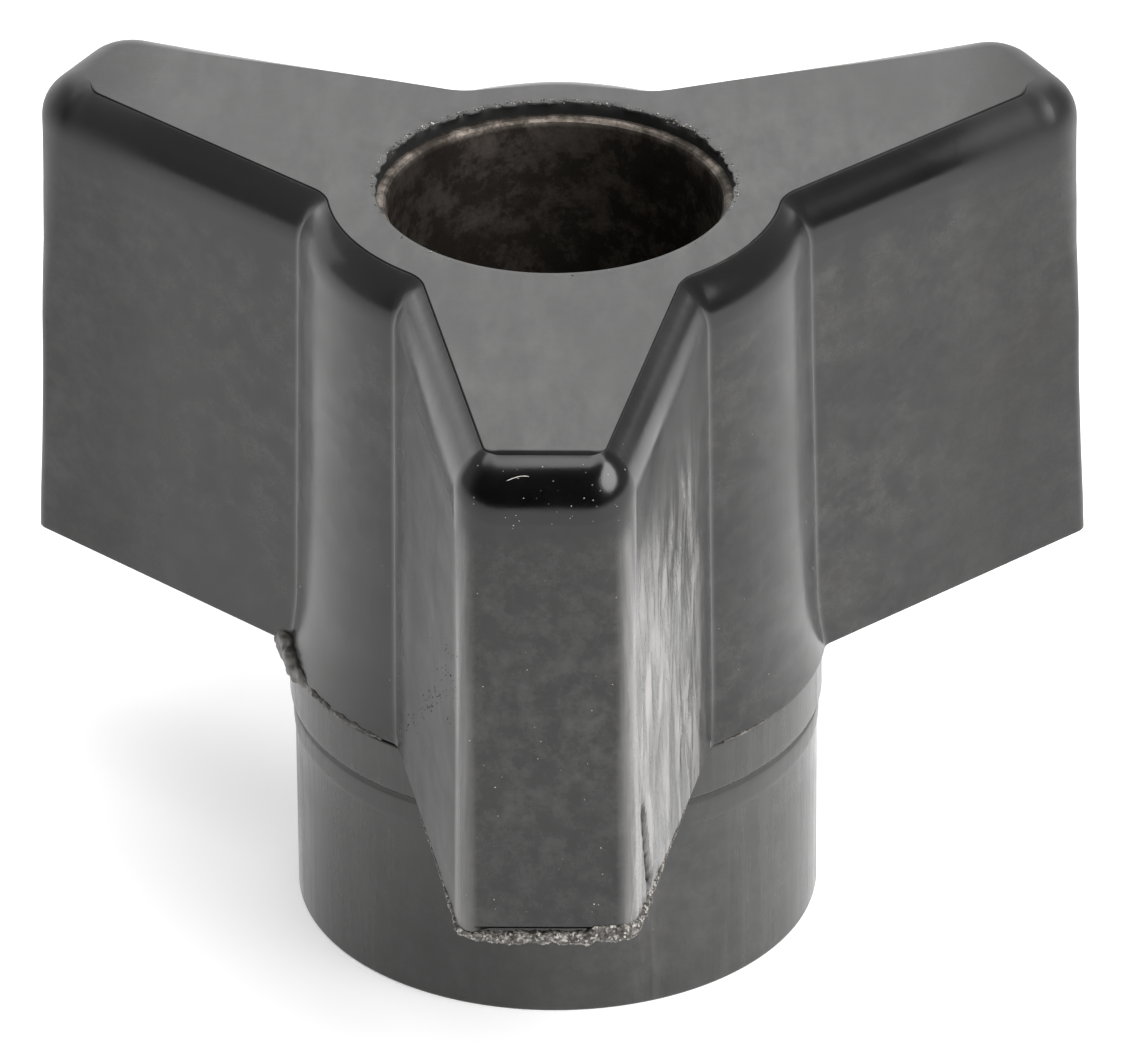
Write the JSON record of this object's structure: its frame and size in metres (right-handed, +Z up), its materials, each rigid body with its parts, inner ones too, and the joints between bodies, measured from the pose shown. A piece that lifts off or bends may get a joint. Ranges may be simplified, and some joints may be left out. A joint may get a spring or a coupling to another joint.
{
  "type": "three-wing hand nut",
  "caption": "Moulded hand nut with tapered wings on a round neck, over a metal insert that is threaded below and smooth-bored above.",
  "frame": {"origin": "on the bore axis, in the plane of the neck's lower end, which bears on the work", "axes": "+Z up the bore from the bearing face to the top face; -Y towards the middle of one wing; +X to the right seen from that wing"},
  "size_m": [0.056, 0.0487, 0.0419],
  "materials": {
    "phenolic": "compression-moulded black phenolic, semi-gloss, with draw marks and a broken flash line",
    "insert_steel": "turned steel, dulled and mottled brown inside the bore"
  },
  "bodies": {
    "root": {"wing_body": "phenolic", "threaded_insert": "insert_steel"}
  },
  "joints": []
}
